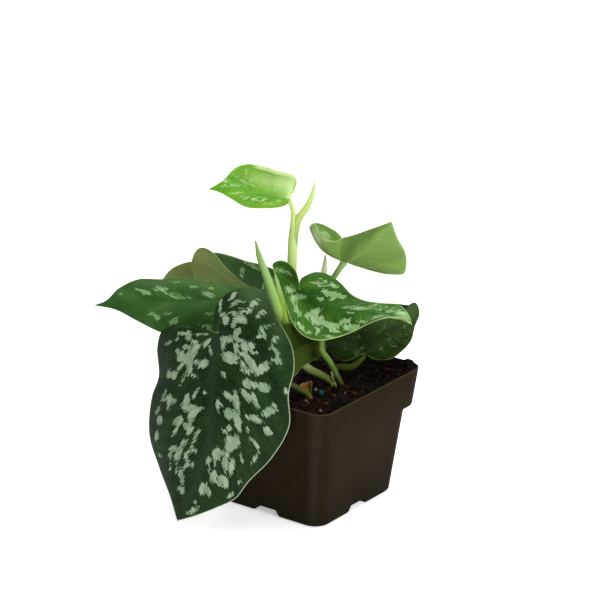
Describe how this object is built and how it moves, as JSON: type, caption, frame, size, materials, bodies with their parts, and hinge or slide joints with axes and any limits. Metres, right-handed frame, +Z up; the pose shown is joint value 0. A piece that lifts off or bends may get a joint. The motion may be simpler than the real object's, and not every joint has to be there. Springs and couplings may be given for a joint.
{
  "type": "potted houseplant",
  "caption": "Young satin pothos with silver-blotched heart-shaped leaves and light green stems, standing in a square black plastic nursery pot filled with soil.",
  "frame": {"origin": "under the middle of the whole plant's outline seen from above, at the height of the surface that the pot stands on", "axes": "+Z up; +X and +Y along the sides of the square pot; the large hanging leaf is on the -Y side"},
  "size_m": [0.1696, 0.1628, 0.1841],
  "materials": {
    "pot_plastic": "satin moulded polypropylene, near black",
    "potting_soil": "moist peat and bark, crumbly",
    "bead_coat": "resin-coated, satin",
    "leaf_dark": "satin, silver blotches",
    "leaf_mid": "satin, sparse silver blotches",
    "leaf_bright": "satin, silver blotches",
    "leaf_olive": "satin, plain underside",
    "leaf_lime": "satin, faint silver flecks",
    "stem_green": "smooth, slightly glossy"
  },
  "bodies": {
    "root": {"pot": "pot_plastic", "soil": "potting_soil", "fertiliser_bead": "bead_coat", "leaf_front": "leaf_dark", "leaf_left": "leaf_mid", "leaf_cupped": "leaf_dark", "leaf_back_left": "leaf_olive", "leaf_centre": "leaf_bright", "leaf_shaded": "leaf_olive", "leaf_back_right": "leaf_dark", "leaf_upper_right": "leaf_bright", "leaf_young": "leaf_lime", "stem_front": "stem_green", "stem_left": "stem_green", "stem_back_left": "stem_green", "stem_centre": "stem_green", "stem_upper_right": "stem_green", "stem_young": "stem_green", "stem_spear": "stem_green"}
  },
  "joints": []
}
